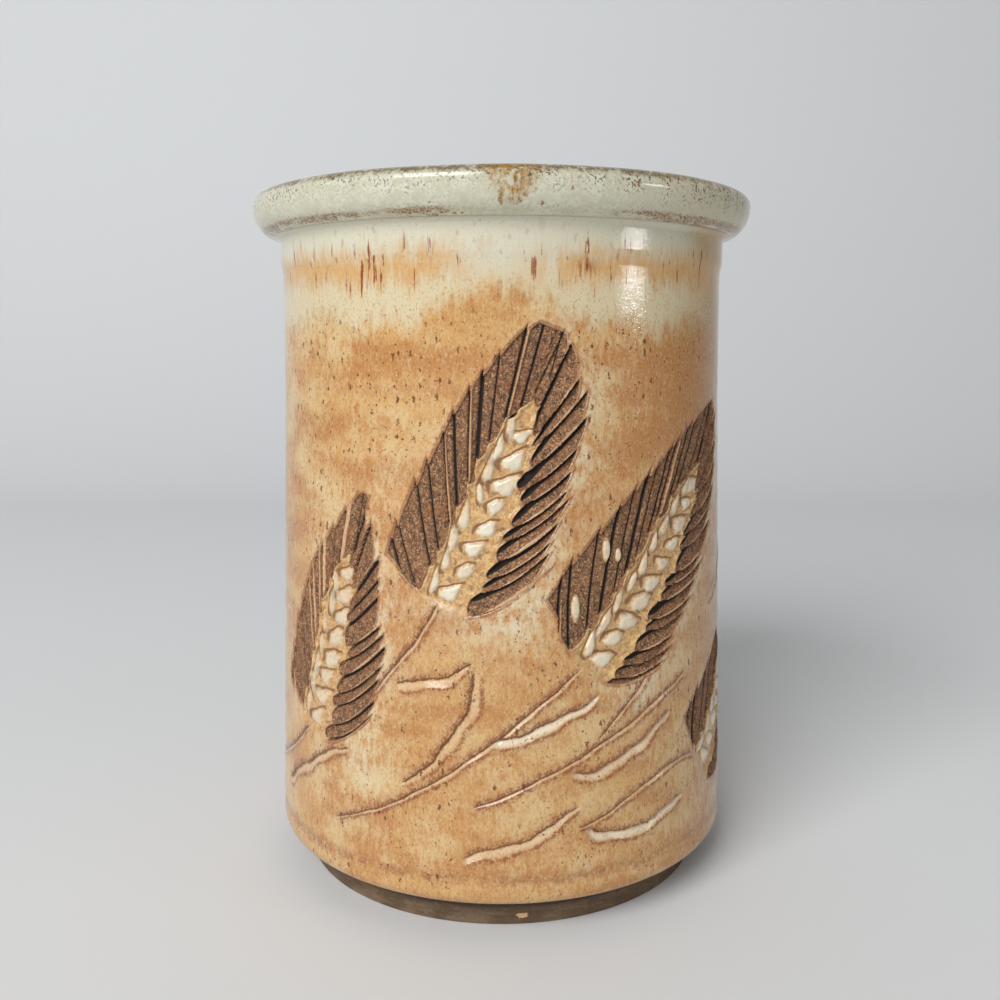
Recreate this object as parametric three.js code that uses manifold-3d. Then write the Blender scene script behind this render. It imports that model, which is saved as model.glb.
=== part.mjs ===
// Utensil holder: a wheel-thrown stoneware crock with a rolled rim, a turned foot ring and a glaze coat
// on its wall, rim and inside. Wheat ears are cut through the wall glaze down to the bare clay.
// Millimetres, +Z up, origin at the centre of the foot ring's resting plane, front of the crock at -Y.

import * as THREE from 'three';
import { mergeVertices } from 'three/addons/utils/BufferGeometryUtils.js';
import Module from 'manifold-3d';

// Whole crock, measured over the glaze
const overallHeight = 165;
const wallRadiusLow = 57.2;
const wallRadiusHigh = 55.1;
const wallThickness = 6.6;

// Foot ring and underside, bare clay
const footRadius = 50.4;
const footRingWidth = 6.5;
const footHeight = 4.2;
const footHollow = 2.6;
const footEdge = 0.7;

// Lower edge of the wall glaze
const glazeLineHeight = 7.4;
const lowerEdgeRound = 3.2;

// Neck flare and rolled rim
const neckLength = 16.5;
const neckFlare = 0.9;
const rimOverhang = 6.3;
const rimShoulder = 3.7;
const rimHeight = 10.2;
const rimWidestDrop = 2.9;
const rimInnerStep = 1.9;
const rimInnerDrop = 6;

// Inside
const floorThickness = 8.8;
const floorRound = 8;

// Glaze coats
const glazeThickness = 0.6;
const glazeBond = 0.1;
const glazeSeam = 0.3;

// Wheat ear, in its own plane: along the spine from its root, and across from the spine
const earLeftWidth = 15.2;
const earRightWidth = 16.4;
const earTipOffset = -3;
const earRootGap = 5.2;
const earShoulder = 12;
const earTipRound = 7;
const wingBendShare = 0.72;
const grainStripShare = 0.74;
const grainStripTip = 1.8;
const earFieldLow = 18;
const earFieldNeckMargin = 1;
const cutterReach = 9;

// Each ear's place round the wall from the front, share of the free height, lean to the right and length
const wheatEars = [
  { turn: -51.6, rise: 0.36, lean: 17.2, length: 58.2 },
  { turn: -13.5, rise: 0.93, lean: 21.1, length: 62.8 },
  { turn: 19.8, rise: 0.65, lean: 40.6, length: 71.3 },
  { turn: 57, rise: 0.14, lean: 48, length: 54 },
  { turn: 96, rise: 0.86, lean: 26, length: 60 },
  { turn: 126, rise: 0.24, lean: 24, length: 62 },
  { turn: 171, rise: 0.97, lean: 28, length: 62 },
  { turn: 197, rise: 0.5, lean: 42, length: 66 },
  { turn: 243, rise: 0.26, lean: 30, length: 60 },
];

// Finishes
const bareClay = { color: 0x7d6048, roughness: 0.85, metalness: 0 };
const ochreGlaze = { color: 0xcfa26c, roughness: 0.3, metalness: 0 };
const creamRimGlaze = { color: 0xd6d1bb, roughness: 0.22, metalness: 0 };
const creamLinerGlaze = { color: 0xd9d1b6, roughness: 0.25, metalness: 0 };

// Smoothness of the turned surfaces
const turningSegments = 48;
const cornerSteps = 3;
const rimSteps = 4;
const earCurveSteps = 4;

const rad = THREE.MathUtils.degToRad;
const point = (radius, height) => new THREE.Vector2(radius, height);

const wasm = await Module();
wasm.setup();

// Quarter of an ellipse in a turning profile
function quarterRound(centre, width, height, fromDegrees, steps) {
  const curve = new THREE.EllipseCurve(
    centre.x, centre.y, width, height, rad(fromDegrees), rad(fromDegrees + 90),
  );
  return curve.getPoints(steps);
}

// Profile moved into the clay by a distance, with its corners kept sharp
function insetProfile(profile, distance) {
  const normals = profile.slice(1).map((end, index) => {
    const along = end.clone().sub(profile[index]).normalize();
    return point(along.y, -along.x);
  });
  return profile.map((corner, index) => {
    const before = normals[Math.max(index - 1, 0)];
    const after = normals[Math.min(index, normals.length - 1)];
    const mitre = before.clone().add(after).divideScalar(1 + before.dot(after));
    return corner.clone().addScaledVector(mitre, -distance);
  });
}

// Turned solid of a profile given as radius and height, its axis along +Z
function turned(profile) {
  const geometry = new THREE.LatheGeometry(profile, turningSegments);
  geometry.deleteAttribute('normal');
  geometry.deleteAttribute('uv');
  geometry.rotateX(Math.PI / 2);
  return mergeVertices(geometry);
}

function toManifold(geometry) {
  const positions = geometry.clone();
  positions.deleteAttribute('normal');
  positions.deleteAttribute('uv');
  const merged = mergeVertices(positions);
  const vertProperties = new Float32Array(merged.attributes.position.array);
  const triVerts = new Uint32Array(merged.index.array);
  return new wasm.Manifold(new wasm.Mesh({ numProp: 3, vertProperties, triVerts }));
}

function toGeometry(manifold) {
  const mesh = manifold.getMesh();
  const geometry = new THREE.BufferGeometry();
  geometry.setAttribute('position', new THREE.BufferAttribute(mesh.vertProperties, mesh.numProp));
  geometry.setIndex(new THREE.BufferAttribute(mesh.triVerts, 1));
  return geometry;
}

// Finished surface of the crock as one profile, from the glaze line up the outside, over the rim and
// down the inside to the middle of the floor, in the three stretches that carry a coat each
const creaseHeight = overallHeight - rimHeight;
const neckHeight = creaseHeight - neckLength;
const innerRadiusLow = wallRadiusLow - wallThickness;
const innerRadiusHigh = wallRadiusHigh - wallThickness;
const creaseRadius = wallRadiusHigh + neckFlare;
const rimCrestRadius = creaseRadius + rimOverhang - rimShoulder;
const rimInnerRadius = innerRadiusHigh + rimInnerStep;

function wallSkin() {
  const edgeCentre = point(wallRadiusLow - lowerEdgeRound, glazeLineHeight + lowerEdgeRound);
  const neckFoot = point(wallRadiusHigh, neckHeight);
  const neckBend = point(wallRadiusHigh, neckHeight + neckLength / 2);
  const neckTop = point(creaseRadius, creaseHeight - glazeSeam);
  const flare = new THREE.QuadraticBezierCurve(neckFoot, neckBend, neckTop);
  return [
    ...quarterRound(edgeCentre, lowerEdgeRound, lowerEdgeRound, -90, cornerSteps),
    ...flare.getPoints(cornerSteps),
  ];
}

function rimSkin() {
  const widest = overallHeight - rimWidestDrop;
  const undersideCentre = point(creaseRadius, widest);
  const underside = quarterRound(undersideCentre, rimOverhang, rimHeight - rimWidestDrop, -90, rimSteps);
  const shoulderCentre = point(rimCrestRadius, widest);
  const shoulder = quarterRound(shoulderCentre, rimShoulder, rimWidestDrop, 0, cornerSteps);
  const lipCentre = point(rimCrestRadius, overallHeight - rimInnerDrop);
  const lip = quarterRound(lipCentre, rimCrestRadius - rimInnerRadius, rimInnerDrop, 90, rimSteps);
  return [
    ...underside,
    ...shoulder.slice(1),
    ...lip.slice(1),
    point(innerRadiusHigh, neckHeight + glazeSeam),
  ];
}

function linerSkin() {
  const floorCorner = point(innerRadiusLow - floorRound, floorThickness + floorRound);
  const corner = quarterRound(floorCorner, floorRound, floorRound, -90, cornerSteps);
  return [
    point(innerRadiusHigh, neckHeight),
    ...corner.reverse(),
    point(0, floorThickness),
  ];
}

function clayBody() {
  const ringInner = footRadius - footRingWidth;
  const underside = [
    point(0, footHollow),
    point(ringInner - footHollow, footHollow),
    point(ringInner, 0),
    point(footRadius - footEdge, 0),
    point(footRadius, footEdge),
    point(footRadius, footHeight),
  ];
  const skin = [...wallSkin(), ...rimSkin(), ...linerSkin()];
  return turned([...underside, ...insetProfile(skin, glazeThickness + glazeBond)]);
}

function coat(skin) {
  const back = insetProfile(skin, glazeThickness).reverse();
  return turned([...skin, ...back, skin[0]]);
}

function linerCoat() {
  const skin = linerSkin();
  const back = insetProfile(skin, glazeThickness).reverse();
  return turned([...back, ...skin]);
}

// Outline of an ear: two wings that meet at the tip, with the grain strip left standing between them
function earOutline(length) {
  const stripTop = length * grainStripShare;
  const wingBend = length * wingBendShare;
  const leftTipBend = earTipOffset - earTipRound;
  const rightTipBend = earTipOffset + earTipRound;
  const tipBendHeight = length - earTipRound;
  const outline = new THREE.Shape();
  outline.moveTo(-earRootGap, 0);
  outline.quadraticCurveTo(-earLeftWidth, 0, -earLeftWidth, earShoulder);
  outline.bezierCurveTo(-earLeftWidth, wingBend, leftTipBend, tipBendHeight, earTipOffset, length);
  outline.bezierCurveTo(rightTipBend, tipBendHeight, earRightWidth, wingBend, earRightWidth, earShoulder);
  outline.quadraticCurveTo(earRightWidth, 0, earRootGap, 0);
  outline.lineTo(grainStripTip, stripTop);
  outline.lineTo(-grainStripTip, stripTop);
  outline.closePath();
  return outline;
}

// Solid that cuts one ear out of the wall glaze: its outline leant over, raised to its place and bent
// round the wall
function earCutter({ turn, rise, lean, length }) {
  const wallRadius = (wallRadiusLow + wallRadiusHigh) / 2;
  const fieldHigh = neckHeight - earFieldNeckMargin;
  const freeHeight = fieldHigh - earFieldLow - length * Math.cos(rad(lean));
  const geometry = new THREE.ExtrudeGeometry(earOutline(length), {
    depth: 2 * cutterReach,
    bevelEnabled: false,
    curveSegments: earCurveSteps,
  });
  geometry.rotateZ(-rad(lean));
  geometry.translate(0, earFieldLow + rise * freeHeight, wallRadius - cutterReach);
  const places = geometry.attributes.position;
  for (let index = 0; index < places.count; index += 1) {
    const angle = rad(turn) + places.getX(index) / wallRadius;
    const height = places.getY(index);
    const radius = places.getZ(index);
    places.setXYZ(index, radius * Math.sin(angle), -radius * Math.cos(angle), height);
  }
  return toManifold(geometry);
}

function wallCoat() {
  const whole = toManifold(coat(wallSkin()));
  const carved = wheatEars.reduce((left, ear) => left.subtract(earCutter(ear)), whole);
  return toGeometry(carved);
}

function part(name, geometry, finish) {
  const mesh = new THREE.Mesh(geometry, new THREE.MeshStandardMaterial(finish));
  mesh.name = name;
  return mesh;
}

const utensilHolder = new THREE.Group();
utensilHolder.add(part('clay_body', clayBody(), bareClay));
utensilHolder.add(part('ochre_wall_glaze', wallCoat(), ochreGlaze));
utensilHolder.add(part('cream_rim_glaze', coat(rimSkin()), creamRimGlaze));
utensilHolder.add(part('cream_liner_glaze', linerCoat(), creamLinerGlaze));

export default utensilHolder;
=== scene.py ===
import math

import bmesh
import bpy
import numpy as np
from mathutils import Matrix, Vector


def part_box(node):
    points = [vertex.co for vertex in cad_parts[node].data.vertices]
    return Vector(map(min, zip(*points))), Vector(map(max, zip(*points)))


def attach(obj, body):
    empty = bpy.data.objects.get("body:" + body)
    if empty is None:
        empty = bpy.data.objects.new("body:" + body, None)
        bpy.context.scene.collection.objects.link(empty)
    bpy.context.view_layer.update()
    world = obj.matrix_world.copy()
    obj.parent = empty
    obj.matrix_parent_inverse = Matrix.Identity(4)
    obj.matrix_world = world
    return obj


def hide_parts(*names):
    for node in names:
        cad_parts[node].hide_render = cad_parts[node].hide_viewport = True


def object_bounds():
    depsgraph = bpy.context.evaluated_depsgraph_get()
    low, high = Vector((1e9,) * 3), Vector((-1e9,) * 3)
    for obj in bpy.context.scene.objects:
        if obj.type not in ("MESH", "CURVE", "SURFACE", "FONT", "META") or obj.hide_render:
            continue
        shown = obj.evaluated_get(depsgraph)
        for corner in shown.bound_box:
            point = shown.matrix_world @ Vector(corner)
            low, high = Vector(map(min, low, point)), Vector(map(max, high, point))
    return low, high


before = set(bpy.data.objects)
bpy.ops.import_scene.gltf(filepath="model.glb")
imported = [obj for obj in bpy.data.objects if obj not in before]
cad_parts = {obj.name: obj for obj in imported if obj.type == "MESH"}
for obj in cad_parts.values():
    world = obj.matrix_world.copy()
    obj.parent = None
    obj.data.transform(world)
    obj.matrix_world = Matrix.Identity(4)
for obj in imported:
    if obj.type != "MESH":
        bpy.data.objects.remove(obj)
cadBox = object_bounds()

mm = 0.001
glazeThickness = 0.0006
wallLow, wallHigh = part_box("ochre_wall_glaze")
linerLow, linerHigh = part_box("cream_liner_glaze")

# Turned sizes in metres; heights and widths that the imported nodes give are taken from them
crock = {
    "height": cadBox[1].z,
    "rimRadius": cadBox[1].x,
    "glazeLine": wallLow.z,
    "creaseHeight": wallHigh.z,
    "neckHeight": linerHigh.z,
    "wallRadiusLow": wallHigh.x,
    "wallRadiusHigh": 0.0551,
    "taperTop": 0.118,
    "wallThickness": 0.0066,
    "lowerEdgeRound": 0.0032,
    "creaseRadius": 0.056,
    "creaseRound": 0.0015,
    "collarLow": 0.1455,
    "collarHigh": 0.149,
    "collarStep": 0.00055,
    "neckFlare": 0.0001,
    "creaseGap": 0.0003,
    "rimCrestRadius": 0.0586,
    "rimWidestDrop": 0.0029,
    "rimInnerRadius": 0.0504,
    "rimInnerDrop": 0.006,
    "floorThickness": linerLow.z + glazeThickness,
    "floorRound": 0.008,
    "footRadius": 0.0504,
    "footRingWidth": 0.0065,
    "footHeight": 0.0042,
    "footHollow": 0.0026,
    "footEdge": 0.0007,
    "coatDepth": 0.0012,
    "carvedDepth": 0.0024,
    "bond": 0.0001,
}


def smooth(low, high, value):
    share = np.clip((value - low) / (high - low), 0, 1)
    return share * share * (3 - 2 * share)


def ridge(centre, width, value):
    return np.exp(-(((value - centre) / width) ** 2))


# Falls from 1 at the centre to 0 at the given distance on both sides
def tent(centre, width, value):
    return np.clip(1 - np.abs(value - centre) / width, 0, 1)


# Places along and across a line that leans to the right by an angle
def leant(across, up, angle):
    sine, cosine = math.sin(angle), math.cos(angle)
    return across * sine + up * cosine, across * cosine - up * sine


def tone(red, green, blue):
    parts = [part / 255 for part in (red, green, blue)]
    linear = [part / 12.92 if part <= 0.04045 else ((part + 0.055) / 1.055) ** 2.4 for part in parts]
    return (*linear, 1)


# Profiles, as radius and height

def quarterRound(centre, width, height, fromDegrees, steps):
    angles = np.radians(np.linspace(fromDegrees, fromDegrees + 90, steps + 1))
    return np.column_stack([centre[0] + width * np.cos(angles), centre[1] + height * np.sin(angles)])


def insetProfile(profile, distance):
    along = np.diff(profile, axis=0)
    along /= np.linalg.norm(along, axis=1)[:, None]
    normals = np.column_stack([along[:, 1], -along[:, 0]])
    before = np.vstack([normals[:1], normals])
    after = np.vstack([normals, normals[-1:]])
    mitre = (before + after) / (1 + (before * after).sum(1))[:, None]
    return profile - mitre * distance


def edgeTop():
    return crock["glazeLine"] + crock["lowerEdgeRound"]


def wallTop():
    return crock["creaseHeight"] + crock["creaseGap"] + crock["bond"]


def wallRadius(height):
    edge = crock["lowerEdgeRound"]
    below = np.clip(edgeTop() - height, 0, edge)
    rounding = edge - np.sqrt(edge**2 - below**2)
    taper = np.interp(
        height, [edgeTop(), crock["taperTop"]], [crock["wallRadiusLow"], crock["wallRadiusHigh"]]
    )
    collar = crock["collarStep"] * smooth(crock["collarLow"], crock["collarHigh"], height)
    neckShare = (height - crock["collarHigh"]) / (wallTop() - crock["collarHigh"])
    neck = crock["neckFlare"] * np.clip(neckShare, 0, 1)
    bend = crock["creaseRound"]
    under = np.clip(height - wallTop() + bend, 0, bend)
    return taper - rounding + collar + neck + bend - np.sqrt(bend**2 - under**2)


def wallHeights(step, neckStep):
    corner = edgeTop() - crock["lowerEdgeRound"] * np.cos(np.radians(np.linspace(0, 75, 6)))
    neckLow = crock["collarLow"] - mm
    creaseLow = wallTop() - crock["creaseRound"]
    rows = np.linspace(edgeTop(), neckLow, round((neckLow - edgeTop()) / step) + 1)
    neck = np.linspace(neckLow, creaseLow, round((creaseLow - neckLow) / neckStep) + 1)
    crease = creaseLow + crock["creaseRound"] * np.sin(np.radians(np.linspace(0, 90, 9)))
    return np.concatenate([corner, rows, neck[1:], crease[1:]])


def rimSkin(steps):
    creaseTop = crock["creaseHeight"] + crock["creaseGap"]
    widest = crock["height"] - crock["rimWidestDrop"]
    crest = crock["rimCrestRadius"]
    underside = quarterRound(
        (crock["creaseRadius"], widest), crock["rimRadius"] - crock["creaseRadius"], widest - creaseTop,
        -90, steps,
    )
    shoulder = quarterRound(
        (crest, widest), crock["rimRadius"] - crest, crock["rimWidestDrop"], 0, steps
    )
    lip = quarterRound(
        (crest, crock["height"] - crock["rimInnerDrop"]), crest - crock["rimInnerRadius"],
        crock["rimInnerDrop"], 90, steps,
    )
    inner = crock["wallRadiusHigh"] - crock["wallThickness"]
    inside = np.linspace(lip[-1], (inner, crock["neckHeight"] + crock["creaseGap"]), steps)
    tuck = [(crock["creaseRadius"] - crock["coatDepth"], creaseTop)]
    return np.vstack([tuck, underside, shoulder[1:], lip[1:], inside[1:]])


def linerSkin(wallSteps, cornerSteps, floorSteps):
    innerLow = crock["wallRadiusLow"] - crock["wallThickness"]
    innerHigh = crock["wallRadiusHigh"] - crock["wallThickness"]
    floor = crock["floorThickness"]
    bend = crock["floorRound"]
    corner = quarterRound((innerLow - bend, floor + bend), bend, bend, -90, cornerSteps)[::-1]
    wall = np.linspace((innerHigh, crock["neckHeight"]), corner[0], wallSteps)
    bottom = np.linspace(corner[-1], (0, floor), floorSteps)
    return np.vstack([wall[:-1], corner, bottom[1:]])


# Meshes

def makeObject(name, bm, material):
    bmesh.ops.recalc_face_normals(bm, faces=bm.faces)
    mesh = bpy.data.meshes.new(name)
    bm.to_mesh(mesh)
    bm.free()
    mesh.shade_smooth()
    mesh.materials.append(material)
    made = bpy.data.objects.new(name, mesh)
    bpy.context.scene.collection.objects.link(made)
    return made


def makePiece(name, bm, material, node):
    piece = makeObject(name, bm, material)
    print(name, len(piece.data.polygons), "faces")
    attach(piece, "root")
    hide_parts(node)
    return piece


def spinProfile(profile, steps, closed, turn=360):
    bm = bmesh.new()
    verts = [bm.verts.new((0, -radius, height)) for radius, height in profile]
    edges = [bm.edges.new(pair) for pair in zip(verts, verts[1:])]
    if closed:
        edges.append(bm.edges.new((verts[-1], verts[0])))
    bmesh.ops.spin(
        bm, geom=verts + edges, cent=(0, 0, 0), axis=(0, 0, 1), angle=math.radians(turn), steps=steps,
        use_merge=turn == 360,
    )
    bmesh.ops.remove_doubles(bm, verts=bm.verts, dist=1e-7)
    return bm


def places(mesh):
    flat = np.empty(len(mesh.vertices) * 3, dtype=np.float32)
    mesh.vertices.foreach_get("co", flat)
    return flat.reshape(-1, 3).astype(float)


def setPlaces(mesh, points):
    mesh.vertices.foreach_set("co", points.astype(np.float32).ravel())
    mesh.update()


# Shader wiring: values wired together with ordinary arithmetic

class Wire:
    def __init__(self, tree, socket=None):
        self.tree = tree
        self.socket = socket

    def node(self, kind, settings=None, inputs=None, output=0):
        made = self.tree.nodes.new(f"ShaderNode{kind}")
        for name, value in (settings or {}).items():
            setattr(made, name, value)
        for key, value in (inputs or {}).items():
            if isinstance(value, Wire):
                self.tree.links.new(value.socket, made.inputs[key])
            else:
                made.inputs[key].default_value = value
        return Wire(self.tree, made.outputs[output] if len(made.outputs) else None)

    def other(self, output):
        return Wire(self.tree, self.socket.node.outputs[output])

    def maths(self, operation, first, second):
        return self.node("Math", {"operation": operation}, {0: first, 1: second})

    def __add__(self, value):
        return self.maths("ADD", self, value)

    __radd__ = __add__

    def __sub__(self, value):
        return self.maths("SUBTRACT", self, value)

    def __rsub__(self, value):
        return self.maths("SUBTRACT", value, self)

    def __mul__(self, value):
        return self.maths("MULTIPLY", self, value)

    __rmul__ = __mul__

    def absolute(self):
        return self.maths("ABSOLUTE", self, 0)

    def step(self, low, high):
        return self.node(
            "MapRange", {"interpolation_type": "SMOOTHSTEP"},
            {"Value": self, "From Min": low, "From Max": high},
        )

    def hump(self, centre, width):
        return 1 - (self - centre).absolute().step(0, width)

    def blend(self, first, second):
        return self.node("Mix", {"data_type": "RGBA"}, {0: self, 6: first, 7: second}, 2)

    # Colours of a look laid over this one, each with its own mask
    def layered(self, look, *layers):
        top = self
        for mask, name in layers:
            top = mask.blend(top, look[name])
        return top

    def attribute(self, name):
        return self.node("Attribute", {"attribute_name": name}, output="Fac")

    # Millimetres along one axis
    def axis(self, name):
        return self.node("SeparateXYZ", None, {"Vector": self}, name) * 1000

    def stretched(self, scale):
        return self.node("VectorMath", {"operation": "MULTIPLY"}, {0: self, 1: scale})

    def noise(self, size, detail=2, roughness=0.5):
        inputs = {"Vector": self, "Scale": 1 / size, "Detail": detail, "Roughness": roughness}
        return self.node("TexNoise", None, inputs)

    # Noise turned into a shift to both sides of zero
    def sway(self, amount):
        return (self - 0.5) * amount

    def jolted(self, size, amount):
        stir = self.node("TexNoise", None, {"Vector": self, "Scale": 1 / size}, "Color")
        return self.node(
            "VectorMath", {"operation": "MULTIPLY_ADD"}, {0: stir, 1: (amount,) * 3, 2: self}
        )

    def spots(self, size, share, smallest, largest):
        cell = self.node("TexVoronoi", None, {"Vector": self, "Scale": 1 / size})
        chance = cell.node("SeparateColor", None, {"Color": cell.other("Color")})
        chosen = chance.step(1 - share, 1 - share + 0.01)
        reach = chance.other("Green") * (largest - smallest) + smallest
        return chosen * (1 - cell.step(reach * 0.55, reach))

    def bump(self, strength, distance):
        return self.node("Bump", None, {"Strength": strength, "Distance": distance, "Height": self})


def newMaterial(name):
    material = bpy.data.materials.new(name)
    material.use_nodes = True
    material.node_tree.nodes.clear()
    return material, Wire(material.node_tree).node("TexCoord", output="Object")


def closeMaterial(place, inputs):
    surface = place.node("BsdfPrincipled", None, inputs)
    place.node("OutputMaterial", None, {"Surface": surface})


# Carving: wheat ears, stalks and leaves cut into the wall

# Each ear: turn from the front in degrees, share of the free height, lean in degrees, length in mm, drift
# of its grains to the right, how black its gouges start in painted shade with some iron, how wide the glaze
# slivers between them are, wing outlines as a width and two closing powers, how white its grains are, and
# drops of glaze left on its clay as mm up and across from the root, half height and half width
wheatEars = [
    {"turn": -51.6, "rise": 0.36, "lean": 17.2, "length": 58.2, "drift": 0.3, "pits": 0.1, "sliver": 0.5,
     "left": (15.9, 2.4, 1.1), "right": (19.2, 2.6, 1.1), "whiteness": 0.45},
    {"turn": -13.5, "rise": 0.93, "lean": 21.1, "length": 62.8, "drift": 1, "pits": 0.95,
     "left": (15.6, 2.0, 0.7), "right": (18.8, 4.0, 0.55)},
    {"turn": 19.8, "rise": 0.65, "lean": 40.6, "length": 71.3, "drift": 0, "pits": 0.9, "whiteness": 0.8,
     "left": (17.4, 2.6, 0.8), "right": (16.4, 4.0, 0.6),
     "drops": ((24.5, 4.2, 2.6, 1.0), (23.1, 7.2, 1.5, 0.8), (12.3, -3.2, 3.0, 1.0))},
    {"turn": 57, "rise": 0.14, "lean": 48, "length": 54},
    {"turn": 96, "rise": 0.86, "lean": 26, "length": 60},
    {"turn": 126, "rise": 0.24, "lean": 24, "length": 62},
    {"turn": 171, "rise": 0.97, "lean": 28, "length": 62},
    {"turn": 197, "rise": 0.5, "lean": 42, "length": 66},
    {"turn": 243, "rise": 0.26, "lean": 30, "length": 60},
]

# Ear cuts in mm and degrees; paired lists run along the ear as shares of its length
earCut = {
    "fieldLow": 18,
    "neckMargin": 1,
    "drift": 0.5,
    "pits": 0.5,
    "bend": ((0.04, 0.46, 0.66, 0.8), (0, 2.2, 2.8, 3.8)),
    "stripTop": 0.76,
    "stripDepth": 0.55,
    "grainTop": 0.69,
    "grainStep": 5.3,
    "edgeSlope": 0.42,
    "bars": 100,
    "barsBelow": 40,
    "rootMargin": 14,
    "tipMargin": 12,
    "halfWidth": 30,
    "seed": 11,
}
leftWing = {
    "name": "left",
    "side": -1,
    "outline": (15.4, 2.2, 0.8),
    "start": ((0.05, 0.12, 0.5, 0.66, 0.73, 0.79), (5.4, 4.6, 5.4, 3.4, 1.0, -1.5)),
    "angle": ((0.03, 0.1, 0.35, 0.55, 0.68), (45, 33, 23, 14.5, 5)),
    "curl": 0.02,
    "pitch": 5.0,
    "depth": 0.5,
    "groove": 0.7,
    "lowEdge": (0.3, -6, 0.35),
    "ragged": 0.5,
    "wedge": 1.7,
}
rightWing = {
    "name": "right",
    "side": 1,
    "outline": (17, 3.4, 0.7),
    "start": ((0.1, 0.42, 0.5, 0.66, 0.73, 0.79), (6.2, 5.8, 4.2, 3.4, 0.8, -1.5)),
    "angle": ((0.02, 0.2, 0.4, 0.46, 0.6, 0.68), (72, 64, 54, 45, 28, 6)),
    "curl": 0.068,
    "pitch": 4.0,
    "depth": 0.4,
    "groove": 0.85,
    "ragged": 1.1,
    "rounding": 1.2,
    "sliver": 0.55,
}

# Rows of grains: first place along the ear, place across from the middle of the strip, half length, half
# width, tilt and whiteness
grainRows = [
    {"first": 2.6, "across": ((0.04, 0.46, 0.7), (1.8, 2.6, 1.0)), "size": (2.75, 1.65), "tilt": 47,
     "white": (0.6, 1)},
    {"first": 3.6, "across": ((0.04, 0.46, 0.7), (-2.8, -2.6, -1.2)), "size": (3.0, 0.95), "tilt": -17,
     "white": (0.3, 0.75)},
]

# Stalks and leaves as curve points, degrees from the front and mm of height, with how white their slopes
# show, partly pooled glaze and partly painted light
stalks = [
    (((-13.5, 75), (-18, 65), (-27, 57), (-34, 48)), 0.2),
    (((19.8, 61), (0, 46), (-19, 28), (-44, 21)), 0.25),
    (((51, 55), (31.5, 47), (13, 37), (-8, 29)), 0.15),
    (((45, 70), (38, 58), (30, 50), (21, 43)), 0.05),
    (((57, 33), (37, 37), (28, 26), (16, 24)), 0.1),
    (((-51.6, 41), (-62, 31), (-75, 24), (-96, 21)), 0.15),
    (((96, 74), (90, 66), (80, 59), (66, 52)), 0.15),
    (((126, 33), (115, 28), (97, 23), (76, 19.5)), 0.15),
    (((171, 81), (167, 73), (163, 66), (158, 61)), 0.15),
    (((197, 53), (186, 46), (165, 27), (136, 20)), 0.2),
    (((243, 35), (234, 29), (215, 22), (186, 18.5)), 0.15),
]
leaves = [
    (((-24.5, 55), (-18.6, 57), (-11, 57.5), (-6, 61.5)), 0.2),
    (((-5.8, 60.5), (-5.5, 49), (-14.2, 39.3), (-23, 33)), 0.15),
    (((-2.9, 44), (6, 46), (14.4, 49), (22.3, 53.5)), 0.9),
    (((15, 37), (24.8, 34), (34.3, 43), (43, 46)), 0.5),
    (((19.3, 25), (25.8, 18), (39.4, 24), (48, 25)), 0.85),
    (((-9.5, 18.5), (0, 21), (10, 23), (17.4, 29.8)), 0.35),
    (((60, 68), (68, 70), (76, 75), (82, 83)), 0.5),
    (((98, 24), (106, 22), (115, 24), (122, 30)), 0.8),
    (((152, 30), (160, 30), (170, 34), (176, 41)), 0.4),
    (((206, 32), (214, 30), (222, 33), (228, 40)), 0.7),
    (((-67, 22), (-59, 27.5), (-49, 34.5), (-36.5, 39.3)), 0.2),
]
stalkCut = {"width": 1.0, "depth": 0.45, "steep": 0.4, "wave": 0.12, "jag": 0.02}
leafCut = {"width": 2.5, "depth": 0.8, "steep": 0.6, "wave": 0.3, "jag": 0.11}
strokeSamples = 60
strokeMargin = 6


def keepLargest(field, chosen, made):
    for name, values in made.items():
        field[name][chosen] = np.maximum(field[name][chosen], values)


def meanRadius():
    return (crock["wallRadiusLow"] + crock["wallRadiusHigh"]) / 2 / mm


def wrapped(degrees):
    return (degrees + 180) % 360 - 180


# Places on an ear are mm along its axis from the root and mm aside to the right of it

# Middle of the grain strip
def spine(along, ear):
    return ear.get("drift", earCut["drift"]) * np.interp(along / ear["length"], *earCut["bend"])


# Width of a wing from the axis to its outline
def wingEdge(along, ear, wing):
    width, power, sharp = ear.get(wing["name"], wing["outline"])
    return width * (1 - np.clip(along / (ear["length"] + 1), 0, 1) ** power) ** sharp


# How far a spot lies beyond the edge of the grain strip, on the wing's side
def beyondStrip(aside, along, ear, wing):
    return wing["side"] * (aside - spine(along, ear)) - np.interp(along / ear["length"], *wing["start"])


# Where along the strip the cut through each spot has its foot, how far out the spot lies, and mm across
# the cuts per mm along the row of feet
def barbs(along, aside, ear, wing):
    def reach(foot):
        out = np.maximum(beyondStrip(aside, foot, ear, wing), 0)
        slope = 1 / np.tan(np.radians(np.interp(foot / ear["length"], *wing["angle"])))
        return foot + slope * out + wing["curl"] * out**2, out, slope + 2 * wing["curl"] * out

    low = np.full_like(along, -25.0)
    high = np.maximum(along, -24.0)
    for _ in range(22):
        foot = (low + high) / 2
        beyond = reach(foot)[0] > along
        high = np.where(beyond, foot, high)
        low = np.where(beyond, low, foot)
    out, slope = reach(foot)[1:]
    pace = (reach(foot + 0.1)[0] - reach(foot - 0.1)[0]) / 0.2
    return foot, out, np.maximum(pace, 0.3) / np.sqrt(1 + slope**2)


# Number of the cut that runs through each spot, and how far across it the spot lies, from 0 to 1
def barAt(foot, wing, wobble):
    count = foot / wing["pitch"] + wobble + earCut["barsBelow"]
    bar = np.clip(np.floor(count).astype(int), 0, earCut["bars"] - 1)
    return bar, count - bar


# One chance value for each cut, from the ear's own seed
def chances(draw, low, high, bar):
    return draw.uniform(low, high, earCut["bars"])[bar]
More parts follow.
